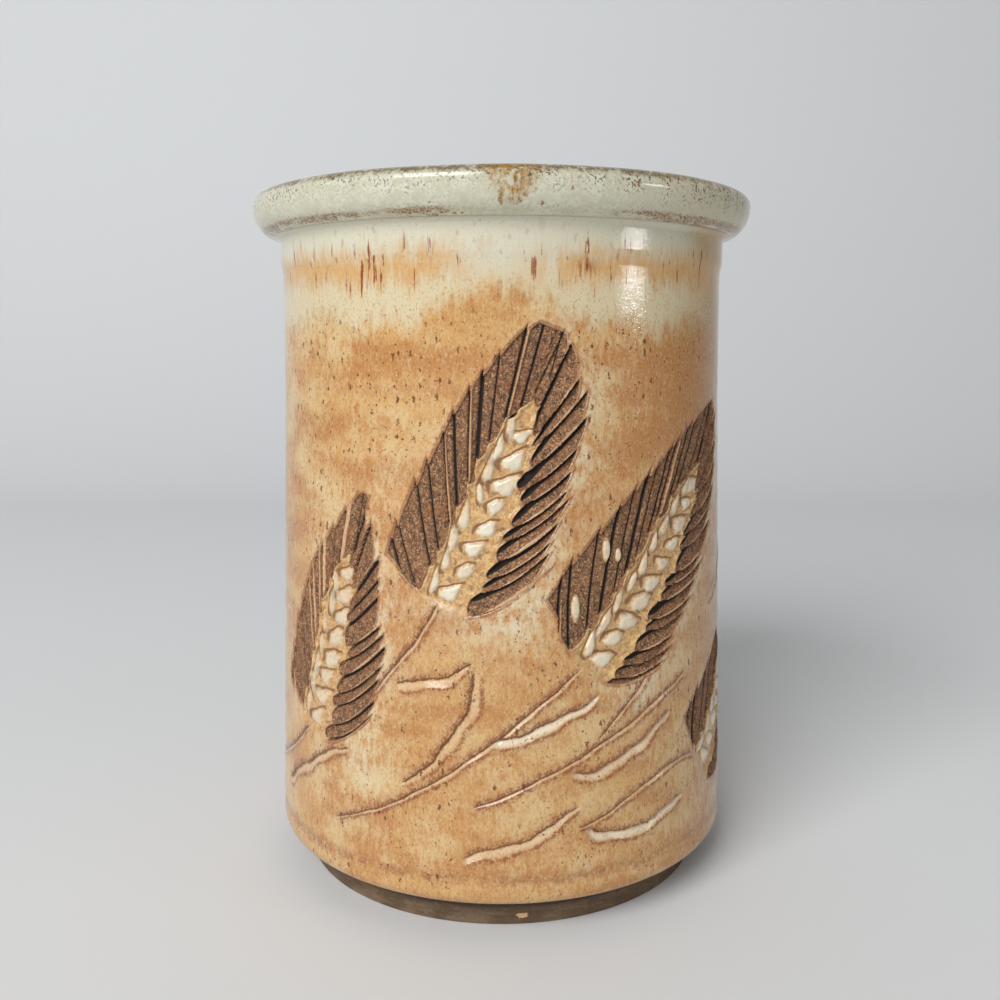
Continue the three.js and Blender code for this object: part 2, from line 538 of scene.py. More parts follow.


# Left wing: flat strips parted by thin grooves, with slivers of glaze left beside some of them; the grooves
# and the strip sides beside them are darkened with painted shade and some iron
def cutLeftWing(along, aside, ear, number, draw):
    length = ear["length"]
    foot, out, spread = barbs(along, aside, ear, leftWing)
    bar, part = barAt(foot, leftWing, 0.14 * np.sin(0.7 * foot + number))
    strip = leftWing["pitch"] * spread
    edge = np.minimum(part, 1 - part) * strip
    ragged = chances(draw, -1, 1, bar) * leftWing["ragged"]
    chance = chances(draw, 0, 1, bar)
    fade = smooth(0.86, 0.8, foot / length)
    teeth = (0.9 * (part - 0.5) + 0.4 * ridge(0, 0.3, edge)) * fade
    outer = wingEdge(along, ear, leftWing) + ragged + aside + teeth
    low = leftWing["lowEdge"]
    wedge = leftWing["wedge"] * (0.3 + 0.7 * chance) * (np.sin(np.pi * part) - 0.4)
    wedge *= smooth(0.74, 0.66, along / length)
    beyond = beyondStrip(aside, along, ear, leftWing)
    inside = np.minimum(beyond + wedge, 0.9 * outer)
    inside = np.minimum(inside, length + ragged - along)
    inside = np.minimum(inside, 0.8 * (along - low[0] + (aside - low[1]) * low[2] + 2 * ragged))
    half = 0.26 * (chance > 0.68) * smooth(11, 2, out) * smooth(-1, 2, beyond)
    across = np.abs(part * strip - 0.6) - half
    inside = np.where(half > 0.06, np.minimum(inside, across), inside)
    cut = smooth(0, earCut["edgeSlope"], inside)
    groove = ridge(0, 0.22 + 0.12 * chance, edge) * fade
    depth = cut * (leftWing["depth"] + 0.16 * part + leftWing["groove"] * groove)
    # Painted shade with some iron in each groove, and softer painted shade across the strip beside it
    dark = np.maximum(groove, 0.3 * smooth(0.4, 0, part) * fade) * cut
    return depth, dark, inside, smooth(0.05, 0.2, half) * smooth(0.15, -0.1, across)


# Right wing: finger gouges that curve up and away from the grains, black where they start and dark along
# their upper edges, in painted shade with some iron
def cutRightWing(along, aside, ear, number, draw):
    length = ear["length"]
    foot, out, spread = barbs(along, aside, ear, rightWing)
    bar, part = barAt(foot, rightWing, 0.15 * np.sin(0.6 * foot + 2 * number))
    centred = 2 * part - 1
    strip = rightWing["pitch"] * spread
    ragged = chances(draw, -1, 1, bar) * rightWing["ragged"]
    chance = chances(draw, 0.3, 1, bar)
    poke = chances(draw, -0.9, 0.9, bar)
    fade = smooth(0.8, 0.7, foot / length)
    outer = wingEdge(along, ear, rightWing) + ragged - 2.2 * (1 - part) ** 2 - aside
    inner = beyondStrip(aside, along, ear, rightWing) + (poke - rightWing["rounding"] * centred**2) * fade
    inside = np.minimum(np.minimum(inner, 0.8 * outer), (foot + 0.9) * spread)
    inside = np.minimum(inside, length - along)
    reach = np.clip(out / np.maximum(out + outer, 1), 0, 1)
    sliver = rightWing["sliver"] * ear.get("sliver", 1)
    thin = chance * sliver * smooth(0.2, 0.6, reach) * smooth(1.1, 0.85, reach)
    inside = np.where(thin > 0.08, np.minimum(inside, part * strip - thin), inside)
    cut = smooth(0, earCut["edgeSlope"], inside)
    depth = cut * (rightWing["depth"] + rightWing["groove"] * smooth(0.3, 0.92, part))
    pits = ear.get("pits", earCut["pits"]) * smooth(0.74, 0.55, foot / length)
    pits *= smooth(-0.02, 0.1, foot / length)
    # Black at the start of each gouge and along its upper edge: painted shade with some iron
    start = 0.92 - 0.19 * pits - 0.46 * pits * smooth(4.5, 0.3, out)
    dark = smooth(start - 0.1, start + 0.1, part) * cut * smooth(0.84, 0.76, foot / length)
    return depth, dark, inside, smooth(0.05, 0.3, thin) * smooth(0.15, -0.1, part * strip - thin)


# Grains in two rows, each a petal with its outer end fading into the ground: 2 at the heart of a grain
# down to 1 on its outline, its whiteness, and its brown outline of iron-rich glaze, heavier above it as
# painted shadow
def formGrains(along, aside, ear, draw):
    within = np.zeros_like(along)
    white = np.zeros_like(along)
    outlineAndShade = np.zeros_like(along)
    for row in grainRows:
        middle = row["first"]
        while middle < earCut["grainTop"] * ear["length"]:
            share = middle / ear["length"]
            centre = spine(middle, ear) + np.interp(share, *row["across"]) + 0.45 * draw.uniform(-1, 1)
            size = (1.05 - 0.2 * share) * (1 + 0.18 * draw.uniform(-1, 1))
            angle = math.radians(row["tilt"] * (1 - 0.4 * share) + 11 * draw.uniform(-1, 1))
            shade = draw.uniform(*row["white"]) * ear.get("whiteness", 1)
            phase = draw.uniform(0, 6)
            lengthways, crossways = leant(aside - centre, along - middle, angle)
            lengthways /= row["size"][0] * size
            crossways /= row["size"][1] * size
            bearing = np.arctan2(crossways, lengthways)
            lobed = 1 + 0.1 * np.sin(3 * bearing + phase) + 0.04 * np.sin(7 * bearing)
            crossways = crossways / (1 - 0.3 * np.clip(lengthways, -1.2, 1.2)) + 0.25 * lengthways**2
            far = np.hypot(lengthways, crossways) * lobed
            nearer = 2 - far > within
            white = np.where(nearer, shade * (1 - 0.6 * smooth(0, 1, lengthways)), white)
            within = np.maximum(within, 2 - far)
            # Brown outline round the grain, stronger on its upper side as painted shadow
            outlineAndShade = np.maximum(outlineAndShade, (0.4 + 0.6 * smooth(0.6, -0.4, crossways)) * tent(1.2, 0.34, far))
            middle += earCut["grainStep"] * (1 + 0.1 * draw.uniform(-1, 1))
    return within, white, outlineAndShade


def cutEar(ear, number, turn, height, field):
    fieldHigh = crock["neckHeight"] / mm - earCut["neckMargin"]
    lean = math.radians(ear["lean"])
    length = ear["length"]
    root = earCut["fieldLow"] + ear["rise"] * (fieldHigh - earCut["fieldLow"] - length * math.cos(lean))
    across = np.radians(wrapped(turn - ear["turn"])) * meanRadius()
    up = height - root
    along, aside = leant(across, up, lean)
    inLength = (along > -earCut["rootMargin"]) & (along < length + earCut["tipMargin"])
    chosen = np.flatnonzero(inLength & (np.abs(aside) < earCut["halfWidth"]))
    if not len(chosen):
        return
    across, up, along, aside = (values[chosen] for values in (across, up, along, aside))
    draw = np.random.default_rng(earCut["seed"] + number)
    leftDepth, leftShadeAndIron, leftInside, leftSliver = cutLeftWing(along, aside, ear, number, draw)
    rightDepth, rightShadeAndIron, rightInside, rightSliver = cutRightWing(along, aside, ear, number, draw)
    within, white, outlineAndShade = formGrains(along, aside, ear, draw)
    inside = np.maximum(leftInside, rightInside)
    strip = np.minimum(-beyondStrip(aside, along, ear, leftWing), -beyondStrip(aside, along, ear, rightWing))
    strip = smooth(-1.6, -0.6, strip) * smooth(-2, 1, along)
    strip *= smooth(earCut["stripTop"] + 0.04, earCut["stripTop"], along / length)
    bulge = 1.1 * smooth(0.85, 1.6, within)
    ground = strip * earCut["stripDepth"] * (1 - bulge) * smooth(0.1, 1.2, -inside)
    depth = np.maximum(np.maximum(leftDepth, rightDepth), ground)
    for upward, sideways, tall, wide in ear.get("drops", ()):
        far = np.hypot((up - upward) / tall, (across - sideways) / wide)
        inside = np.minimum(inside, 2 * far - 2)
        depth *= smooth(0.6, 1.2, far)
        strip = np.maximum(strip, smooth(1.3, 1.1, far))
        white = np.where(far < 1.3, 0.4, white)
        within = np.where(far < 1.3, 2 - far, within)
    beyond = np.maximum(aside - wingEdge(along, ear, rightWing), -aside - wingEdge(along, ear, leftWing))
    beyond = np.maximum(np.maximum(beyond, -along), along - length)
    onRight = aside > spine(along, ear)
    sliver = np.where(onRight, rightSliver, leftSliver) * smooth(0.2, -0.6, beyond) * (1 - strip)
    made = {
        "depth": depth,
        "inside": np.clip(inside, -2, 2) + 2,
        "dark": np.maximum(leftShadeAndIron, rightShadeAndIron),
        "within": within * strip,
        "white": white * strip,
        "outlineAndShade": outlineAndShade * strip,
        "strip": strip,
        "sliver": sliver,
        "halo": np.exp(-np.maximum(beyond, 0) / 4.5) * (0.15 + 0.85 * smooth(-6, 8, aside)),
        "near": (beyond < 2.2).astype(float),
    }
    keepLargest(field, chosen, made)


# A stroke has a steep face above, with a dark line of painted shadow on it, and a pale slope below it that
# rises back to the wall, partly pooled glaze and partly painted light
def cutStroke(path, white, cut, number, turn, height, field):
    past = np.linspace(0, 1, strokeSamples)
    left = 1 - past
    weights = np.column_stack([left**3, 3 * left**2 * past, 3 * left * past**2, past**3])
    curve = weights @ np.array(path, float)
    scale = math.radians(1) * meanRadius()
    middle = (curve[:, 0].min() + curve[:, 0].max()) / 2
    line = np.column_stack([(curve[:, 0] - middle) * scale, curve[:, 1]])
    spots = np.column_stack([wrapped(turn - middle) * scale, height])
    close = (spots > line.min(0) - strokeMargin) & (spots < line.max(0) + strokeMargin)
    chosen = np.flatnonzero(close.all(1))
    if not len(chosen):
        return
    spots = spots[chosen]
    best = np.full(len(chosen), np.inf)
    signed = np.zeros(len(chosen))
    along = np.zeros(len(chosen))
    for index, (start, end) in enumerate(zip(line, line[1:])):
        run = end - start
        reach = np.clip(((spots - start) @ run) / (run @ run), 0, 1)
        offset = spots - start - reach[:, None] * run
        distance = np.hypot(offset[:, 0], offset[:, 1])
        normal = np.array([-run[1], run[0]]) / np.hypot(*run)
        normal *= -1 if normal[1] > 0 else 1
        nearer = distance < best
        best = np.where(nearer, distance, best)
        signed = np.where(nearer, np.where(offset @ normal < 0, -distance, distance), signed)
        along = np.where(nearer, (index + reach) / (len(line) - 1), along)
    travel = along * np.hypot(*np.diff(line, axis=0).T).sum()
    signed = signed + cut["wave"] * (np.sin(0.4 * travel + number) + 0.5 * np.sin(0.9 * travel + 2 * number))
    jagged = signed + cut["jag"] * (np.sin(2.3 * travel + number) + 0.7 * np.sin(5.3 * travel + 4 * number))
    swell = 1.72 * along**0.45 * (1 - along) ** 0.9
    wide = cut["width"] * (0.3 + 0.7 * swell) * (1 + 0.14 * np.sin(0.6 * travel + 3 * number))
    steep = cut["steep"] * (0.5 + 0.5 * swell)
    strength = smooth(0, 0.08, along) * smooth(1, 0.94, along)
    slope = strength * smooth(0, 0.3 * wide, signed) * smooth(1.05 * wide, 0.5 * wide, signed)
    depth = cut["depth"] * (0.6 + 0.4 * white) * strength
    made = {
        "depth": depth * smooth(-steep, 0.1, signed) * np.clip(1 - signed / wide, 0, 1),
        "lip": 0.1 * strength * ridge(wide + 0.4, 0.5, signed),
        # Dark line on the steep face: painted shadow
        "cutShadow": strength * tent(-0.4 * steep, 0.4 + 0.4 * steep, jagged),
        # Tan on the slope below the cut, and pale where the stroke is white: partly pooled glaze, partly
        # painted light
        "slope": slope,
        "pale": white * slope,
        # Rust along the lower lip where the glaze breaks, and a brown band above the steep face that is
        # painted shade
        "rust": strength * np.maximum(tent(wide + 0.2, 1.3, signed), 0.95 * tent(-steep - 0.3, 1.7, jagged)),
        "near": ((signed > -steep - 0.8) & (signed < wide + 1.2)).astype(float),
    }
    keepLargest(field, chosen, made)


earFields = ("inside", "dark", "within", "white", "outlineAndShade", "strip", "sliver", "halo")
strokeFields = ("cutShadow", "slope", "pale", "rust")


def carving(turn, height):
    field = {name: np.zeros(len(turn)) for name in earFields + strokeFields + ("depth", "lip", "near")}
    for strokes, cut in ((stalks, stalkCut), (leaves, leafCut)):
        for number, (path, white) in enumerate(strokes):
            cutStroke(path, white, cut, number, turn, height, field)
    for number, ear in enumerate(wheatEars):
        cutEar(ear, number, turn, height, field)
    clear = (1 - field["strip"]) * (1 - smooth(1.6, 2, field["inside"]))
    for name in strokeFields + ("lip",):
        field[name] *= clear
    return field


# Wall, in tall sectors whose seams lean like the ears
wall = {
    "sectors": 6,
    "firstSeam": -40,
    "seamLean": 32,
    "cell": 1.65,
    "neckCell": 0.4,
    "cuts": 6,
    "seamCells": 1.2,
    "skinDepth": 0.3,
    "bandHeight": 14.2,
    "bandDepth": 0.22,
    "ringDepth": 0.05,
    "ringPitch": 7.5,
}


def pulled(items, name):
    values = np.empty(len(items), dtype=np.int32)
    items.foreach_get(name, values)
    return values


# Flat layout of a sector for baking, its outer face large and the rest in a narrow strip below
def layOut(mesh, across, up, onSkin):
    corners = pulled(mesh.loops, "vertex_index")
    starts = pulled(mesh.polygons, "loop_start")
    sizes = pulled(mesh.polygons, "loop_total")
    outer = np.repeat(np.minimum.reduceat(onSkin[corners].astype(int), starts), sizes) > 0
    rows = np.where(outer, 0.05 + 0.94 * up[corners], 0.03 * up[corners] + 0.005 * onSkin[corners])
    flat = np.column_stack([0.005 + 0.99 * across[corners], rows])
    mesh.uv_layers.new(name="OFBake").data.foreach_set("uv", flat.astype(np.float32).ravel())


# Degrees that the seams turn in each mm of height
def seamSlope():
    return math.degrees(math.tan(math.radians(wall["seamLean"])) / meanRadius())


def fromSeam(points):
    return np.degrees(np.arctan2(points[:, 0], -points[:, 1]))


# Small faces where something is cut and along the seams, and a sharp edge round the outer face
def refineSector(bm, start, span, steps):
    bm.faces.index_update()
    centres = np.array([face.calc_center_median() for face in bm.faces])
    skin = np.array(
        [
            min(math.hypot(*vert.co.xy) - float(wallRadius(vert.co.z)) for vert in face.verts)
            for face in bm.faces
        ]
    )
    isOuter = skin > -wall["skinDepth"] * mm
    local = fromSeam(centres)
    height = centres[:, 2] / mm
    near = carving(start + local + seamSlope() * height, height)["near"] > 0
    margin = wall["seamCells"] * span / steps
    fine = isOuter & (near | (local < margin) | (local > span - margin))
    for face, flag in zip(bm.faces, isOuter):
        for edge in face.edges:
            if flag and any(not isOuter[other.index] for other in edge.link_faces):
                edge.smooth = False
    chosen = dict.fromkeys(edge for face, flag in zip(bm.faces, fine) if flag for edge in face.edges)
    bmesh.ops.subdivide_edges(bm, edges=list(chosen), cuts=wall["cuts"], use_grid_fill=True)


# Cuts, throwing rings and the low band, with the values that the glaze is painted by
def carveSector(mesh, start, span):
    points = places(mesh)
    radius = np.hypot(points[:, 0], points[:, 1])
    height = points[:, 2] / mm
    local = fromSeam(points)
    turn = start + local + seamSlope() * height
    angle = np.radians(turn)
    onSkin = radius > wallRadius(points[:, 2]) - wall["skinDepth"] * mm
    field = carving(turn, height)
    rings = wall["ringDepth"] * np.sin(
        2 * np.pi * height / wall["ringPitch"] + angle + 1.3 * np.sin(height / 17)
    )
    rings *= smooth(8, 20, height) * smooth(132, 112, height)
    band = wall["bandDepth"] * ridge(wall["bandHeight"], 0.7, height + 0.4 * np.sin(3 * angle))
    relief = (field["lip"] - field["depth"] + rings - band) * mm
    radius = np.where(onSkin, wallRadius(points[:, 2]) + relief, radius)
    setPlaces(mesh, np.column_stack([radius * np.sin(angle), -radius * np.cos(angle), points[:, 2]]))
    for name in earFields + strokeFields:
        values = np.where(onSkin, field[name], 0).astype(np.float32)
        mesh.attributes.new(name, "FLOAT", "POINT").data.foreach_set("value", values)
    low, high = height.min(), height.max()
    layOut(mesh, np.clip(local / span, 0, 1), (height - low) / (high - low), onSkin)


def wallSectors(material):
    heights = wallHeights(wall["cell"] * mm, wall["neckCell"] * mm)
    outer = np.column_stack([wallRadius(heights), heights])
    profile = np.vstack([outer, outer[::-1] - (crock["carvedDepth"], 0)])
    span = 360 / wall["sectors"]
    steps = round(math.radians(span) * meanRadius() / wall["cell"])
    for number in range(wall["sectors"]):
        start = wall["firstSeam"] + number * span
        bm = spinProfile(profile, steps, True, span)
        bmesh.ops.holes_fill(bm, edges=[edge for edge in bm.edges if edge.is_boundary], sides=0)
        refineSector(bm, start, span, steps)
        piece = makePiece(f"carved_wall_{number + 1}", bm, material, "ochre_wall_glaze")
        carveSector(piece.data, start, span)


# Wall glaze and clay
wallLook = {
    "cream": tone(212, 208, 187),
    "creamWarm": tone(215, 200, 164),
    # Tan for the right side of the cream: partly its own tint, partly painted shade
    "creamTanAndShade": tone(186, 152, 98),
    "ochre": tone(208, 164, 106),
    "ochreDeep": tone(188, 133, 78),
    "ochrePale": tone(217, 191, 142),
    "rust": tone(142, 78, 44),
    "ember": tone(186, 106, 58),
    "dash": tone(142, 68, 30),
    "speck": tone(98, 48, 20),
    "halo": tone(219, 206, 174),
    # Stroke slope tones: partly pooled glaze, partly painted light
    "slopeTanAndLight": tone(214, 174, 124),
    "sliver": tone(222, 178, 136),
    "slope": tone(236, 222, 196),
    # Painted shadow for the stroke cut lines
    "cutShadow": tone(112, 68, 40),
    "grain": tone(231, 223, 202),
    # Brown for the grain outlines, partly painted shadow, and for lines in the strip ground
    "grainLine": tone(112, 70, 40),
    "stripGround": tone(186, 132, 76),
    "stripPale": tone(217, 182, 128),
    "clay": tone(80, 55, 42),
    # Painted shade with some iron for the clay grooves
    "clayShadeAndIron": tone(24, 17, 15),
    "clayPale": tone(150, 106, 72),
    "grit": tone(228, 184, 134),
    "creamRoughness": 0.08,
    "ochreRoughness": 0.16,
    "clayRoughness": 0.88,
}


def wallMaterial():
    look = wallLook
    material, place = newMaterial("ochre glaze and carved clay")
    height = place.axis("Z")
    side = place.axis("X")
    broad = place.noise(0.026)
    soft = place.stretched((0.7, 0.7, 1)).noise(0.008)
    rings = place.stretched((0.16, 0.16, 1)).noise(0.006)
    flow = place.stretched((1, 1, 0.45)).noise(0.0012, 3, 0.6)
    fine = place.noise(0.0014, 3, 0.65)
    grainy = place.stretched((1, 1, 0.6)).noise(0.00045, 2, 0.7)
    streak = place.stretched((1, 1, 0.09)).noise(0.0007, 2, 0.6)
    longStreak = place.stretched((1, 1, 0.05)).noise(0.004)

    # Ochre field: soft paler clouds, rings of deeper ochre, fine runs and grain
    # Deeper ochre toward the right side is painted shade, paler ochre toward the left side painted light
    rightShade = side.step(14, 46) * height.step(84, 116)
    leftLight = side.step(-18, -44) * height.step(84, 116)
    deep = (rings * 0.45 + soft * 0.25 + flow * 0.3 - rightShade * 0.16).step(0.38, 0.6)
    pale = soft * 0.45 + broad * 0.25 + flow * 0.3 - rightShade * 0.1 + leftLight * 0.06
    base = deep.blend(look["ochreDeep"], look["ochre"]).layered(
        look,
        (pale.step(0.47, 0.67) * 0.85, "ochrePale"),
        (flow.step(0.58, 0.75) * 0.4, "ember"),
    )

    # Cream that runs down from the rim and feathers into the ochre, parted by a streaked ochre band
    runs = broad.sway(10) + longStreak.sway(8) + streak.sway(4) + flow.sway(7)
    cream = (height + runs - side.hump(-1, 20) * 8).step(130, 137)
    creamTone = (height + broad.sway(14)).step(138, 149).blend(look["creamWarm"], look["cream"])
    # Toward the right side the cream turns tan: partly its own tint, partly painted shade
    creamTone = (side + soft.sway(14)).step(36, 52).blend(creamTone, look["creamTanAndShade"])
    base = (cream * (grainy.step(0.25, 0.5) * 0.25 + 0.75)).blend(base, creamTone)
    banded = 1 - side.hump(0, 17) * 0.92
    feather = height + streak.sway(8) + longStreak.sway(8) + flow.sway(3)
    band = feather.hump(145, 6.5) * banded * (broad * 0.4 + longStreak * 0.6).step(0.33, 0.46)
    drips = (height + longStreak.sway(16)).hump(146, 7.5) * (banded * 0.95 + 0.05)
    dash = place.stretched((1, 1, 0.07)).noise(0.0009)
    dashes = drips.step(0, 0.5) * (dash * 0.8 + flow * 0.2).step(0.59, 0.65) * longStreak.step(0.36, 0.5)
    smudge = side.hump(17.5, 4) * (height + streak.sway(8)).hump(145, 3.4) * streak.step(0.42, 0.56)
    base = base.layered(look, (band * 0.95, "ochre"), (dashes * 0.95 + smudge * 0.8, "dash"))

    # Pale halo where the glaze thins round a cut, rust where it breaks over an edge, and the same brown as
    # painted shade above each stroke's cut
    halo = place.attribute("halo") * (soft * 0.4 + flow * 0.6).step(0.38, 0.62)
    rust = place.attribute("rust")
    broken = (rust * 0.9 + fine.sway(1.7) + grainy.sway(1)).step(0.5, 0.95)
    # The dark line along each stroke's cut is painted shadow
    line = (place.attribute("cutShadow") + fine.sway(0.7) + soft.sway(0.5)).step(0.3, 0.7)
    inside = place.attribute("inside") - 2
    brink = (inside + fine.sway(0.6)).hump(-0.25, 0.6)
    # Brown band low on the wall: partly pooled glaze along the turned ring, partly a painted shadow line
    lowBand = (height + fine.sway(3) + soft.sway(3)).hump(14, 2.2)
    base = base.layered(
        look,
        (halo * 0.85, "halo"),
        # Rust where the glaze breaks, with painted shade above each stroke's cut
        (broken * rust.step(0.02, 0.3) * 0.6 + rust * 0.28, "rust"),
        # Tan and pale on the stroke slopes: partly pooled glaze, partly painted light
        (place.attribute("slope") * (fine.step(0.25, 0.55) * 0.35 + 0.3), "slopeTanAndLight"),
        (place.attribute("pale") * (fine.step(0.25, 0.5) * 0.4 + 0.6), "slope"),
        # Painted shadow along each stroke's cut
        (line * 0.85, "cutShadow"),
        (brink * (fine.step(0.3, 0.55) * 0.55 + 0.25), "rust"),
        (place.attribute("sliver") * (fine.step(0.3, 0.6) * 0.7 + 0.2), "sliver"),
        (lowBand * (fine * 0.6 + soft * 0.4).step(0.35, 0.6) * 0.6, "rust"),
    )

    # Iron specks drawn out into short dashes, some with a red smear, and a fine light and dark grain
    ragged = place.jolted(0.0007, 0.0012)
    drawn = ragged.stretched((1, 1, 0.45))
    clouds = place.noise(0.011).step(0.42, 0.6)
    below = (clouds * 0.7 + height.step(40, 105) * 0.45 + 0.2).step(0.25, 0.6)
    below = below * (1 - height.step(131, 139) * 0.75)
    smears = drawn.spots(0.0034, 0.6, 0.12, 0.34) * (height.step(60, 110) * 0.7 + 0.3) * below
    glazed = 1 - height.step(136, 150) * 0.75
    base = base.layered(
        look,
        (smears * (fine.step(0.35, 0.6) * 0.5 + 0.1), "ember"),
        (grainy.step(0.54, 0.7) * glazed * 0.45, "rust"),
        ((1 - grainy).step(0.54, 0.7) * glazed * 0.4, "halo"),
        (drawn.spots(0.0016, 0.7, 0.1, 0.3) * below * 0.85, "speck"),
        (ragged.spots(0.0011, 0.9, 0.08, 0.3) * below * 0.75, "speck"),
    )

    # Grains on their tan ground, with brown outlines of iron-rich glaze that are heavier above each grain as
    # painted shadow
    mottle = ragged.noise(0.0011, 3, 0.7)
    ground = (mottle * 0.7 + grainy * 0.3).step(0.4, 0.58).blend(look["stripGround"], look["stripPale"])
    ground = ground.layered(
        look,
        (ragged.noise(0.0018, 3, 0.65).step(0.54, 0.66) * 0.6, "grainLine"),
        ((1 - mottle).step(0.56, 0.68) * 0.4, "halo"),
    )
    outlineAndShade = (place.attribute("outlineAndShade") + mottle.sway(0.9)).step(0.35, 0.75)
    petal = (place.attribute("within") + mottle.sway(0.5)).step(0.98, 1.3)
    petal = petal * (place.attribute("white") * 0.7 + 0.3) * (fine.step(0.3, 0.55) * 0.25 + 0.75)
    base = place.attribute("strip").blend(base, ground)
    base = base.layered(look, (outlineAndShade * 0.8, "grainLine"), (petal, "grain"))

    # Bare clay with light grit, its grooves and gouge starts darkened with painted shade and some iron
    shadow = place.attribute("dark")
    clay = (fine * 0.5 + grainy * 0.5).step(0.38, 0.62).blend(look["clay"], look["clayPale"])
    clay = clay.layered(
        look,
        (place.noise(0.00042, 2, 0.7).step(0.53, 0.66) * 0.6, "grit"),
        (soft.step(0.5, 0.64) * flow.step(0.45, 0.6) * 0.35, "rust"),
        # Painted shade with some iron in the grooves
        (shadow * 0.6, "clayShadeAndIron"),
        ((shadow + fine.sway(0.3)).step(0.35, 0.65) * 0.95, "clayShadeAndIron"),
    )
    bare = (inside + fine.sway(0.4) + grainy.sway(0.25)).step(-0.02, 0.16)
    gloss = height.step(124, 132)
    rough = gloss * (look["creamRoughness"] - look["ochreRoughness"]) + look["ochreRoughness"]
    rough = bare * (look["clayRoughness"] - rough) + rough
    grit = place.noise(0.0004) * (bare * 0.7 + 0.12) + place.noise(0.0016, 3, 0.65) * (1 - bare) * 0.32
    inputs = {"Base Color": bare.blend(base, clay), "Roughness": rough, "Normal": grit.bump(0.4, 0.0003)}
    closeMaterial(place, inputs)
    return material


wallSectors(wallMaterial())


# Rim
rim = {"steps": 12, "turns": 240, "wobble": 0.12}
rimLook = {
    "cream": tone(213, 211, 191),
    "shade": tone(200, 196, 172),
    # Tan for the right side of the rim: painted shade
    "tan": tone(194, 181, 146),
    "rust": tone(138, 86, 6),
    "lip": tone(108, 84, 42),
    "amber": tone(172, 124, 40),
    "speck": tone(80, 66, 44),
    "roughness": 0.14,
}


def rimMaterial():
    look = rimLook
    material, place = newMaterial("cream rim glaze")
    height = place.axis("Z")
    side = place.axis("X")
    broad = place.noise(0.02)
    patch = place.noise(0.004, 3)
    fine = place.noise(0.001, 3, 0.65)
    smear = place.stretched((0.3, 0.3, 1)).noise(0.0013, 4, 0.7)
    streak = place.stretched((1, 1, 0.2)).noise(0.0012, 3, 0.6)
    ragged = place.jolted(0.0005, 0.0006)

    # Rust smeared where the outside glaze breaks over the lower edge
    flat = place.stretched((1, 1, 0))
    radius = flat.node("VectorMath", {"operation": "LENGTH"}, {0: flat}, "Value") * 1000
    worn = (broad + side.absolute() * 0.005).step(0.46, 0.66) * 0.6 + 0.3
    broken = (height + smear.sway(3) + fine.sway(1.6)).hump(156, 1.5) * worn * radius.step(53, 55)
    feathered = (broken * 0.8 + smear.sway(1.4) + fine.sway(0.8)).step(0.3, 0.7)
    feathered = feathered * (place.noise(0.0005, 2, 0.7).step(0.42, 0.58) * 0.7 + 0.3)

    # Brown along the crest with a few runs, and dark dust over the upper half
    crest = (height + fine.sway(1.8) + patch.sway(1.6)).step(162.7, 164.2)
    middle = side.hump(2, 9)
    runs = (height + streak.sway(10) + patch.sway(4) + middle * 4.5).step(160.5, 164)
    runs = runs * (patch * 0.5 + fine * 0.5).step(0.34, 0.56)
    upper = (height + broad.sway(4) + patch.sway(4)).step(157.5, 162.8)
    dust = place.noise(0.0006, 2, 0.65).step(0.53, 0.62) * (patch.step(0.36, 0.6) * 0.7 + 0.3)
    # Tan toward the right side is painted shade
    base = (patch * 0.5 + fine * 0.5).step(0.4, 0.6).blend(look["shade"], look["cream"]).layered(
        look,
        (side.step(16, 50) * (patch * 0.6 + fine * 0.4).step(0.3, 0.6) * 0.7, "tan"),
        (feathered * broken.step(0.05, 0.3) * 0.9, "rust"),
        (crest * (patch * 0.4 + fine * 0.6).step(0.36, 0.52) * 0.85, "lip"),
        (runs * (middle + broad.step(0.58, 0.7) * 0.4), "amber"),
        (runs * middle * streak.step(0.5, 0.6) * 0.7, "lip"),
        (ragged.spots(0.0015, 0.6, 0.1, 0.32) * (upper * 0.6 + broken * 0.4), "speck"),
        (dust * (upper * 0.8 + broken * 0.7 + side.step(10, 50) * 0.2 + 0.06), "speck"),
        (ragged.stretched((1, 1, 0.4)).spots(0.0022, 0.5, 0.06, 0.22) * 0.8, "rust"),
    )
    bump = place.noise(0.0025).bump(0.2, 0.0002)
    closeMaterial(place, {"Base Color": base, "Roughness": look["roughness"], "Normal": bump})
    return material


def glazedRim():
    skin = rimSkin(rim["steps"])
    profile = np.vstack([skin, insetProfile(skin, crock["coatDepth"])[::-1]])
    bm = spinProfile(profile, rim["turns"], True)
    piece = makePiece("glazed_rim", bm, rimMaterial(), "cream_rim_glaze")
    points = places(piece.data)
    turn = np.arctan2(points[:, 0], -points[:, 1])
    uneven = np.sin(3 * turn + 0.4) + 0.6 * np.sin(7 * turn + 2) + 0.4 * np.sin(16 * turn + 1) - 2
    outward = smooth(crock["creaseRadius"], crock["rimRadius"], np.hypot(points[:, 0], points[:, 1]))
    wobble = rim["wobble"] * mm / 4
    shrink = 1 + wobble * uneven * outward / crock["rimRadius"]
    points[:, :2] *= shrink[:, None]
    lift = smooth(crock["height"] - 2 * mm, crock["height"], points[:, 2])
    points[:, 2] += wobble * (np.sin(5 * turn) + np.sin(11 * turn + 1) - 2) * lift
    setPlaces(piece.data, points)


glazedRim()


# Inside coat with throwing rings
liner = {
    "steps": (120, 14, 40),
    "turns": 160,
    "ringPitch": 6.5,
    "ringDepth": 0.22,
}
linerLook = {
    "cream": tone(218, 208, 178),
    "warm": tone(204, 178, 130),
    "speck": tone(104, 72, 48),
    "roughness": 0.2,
}


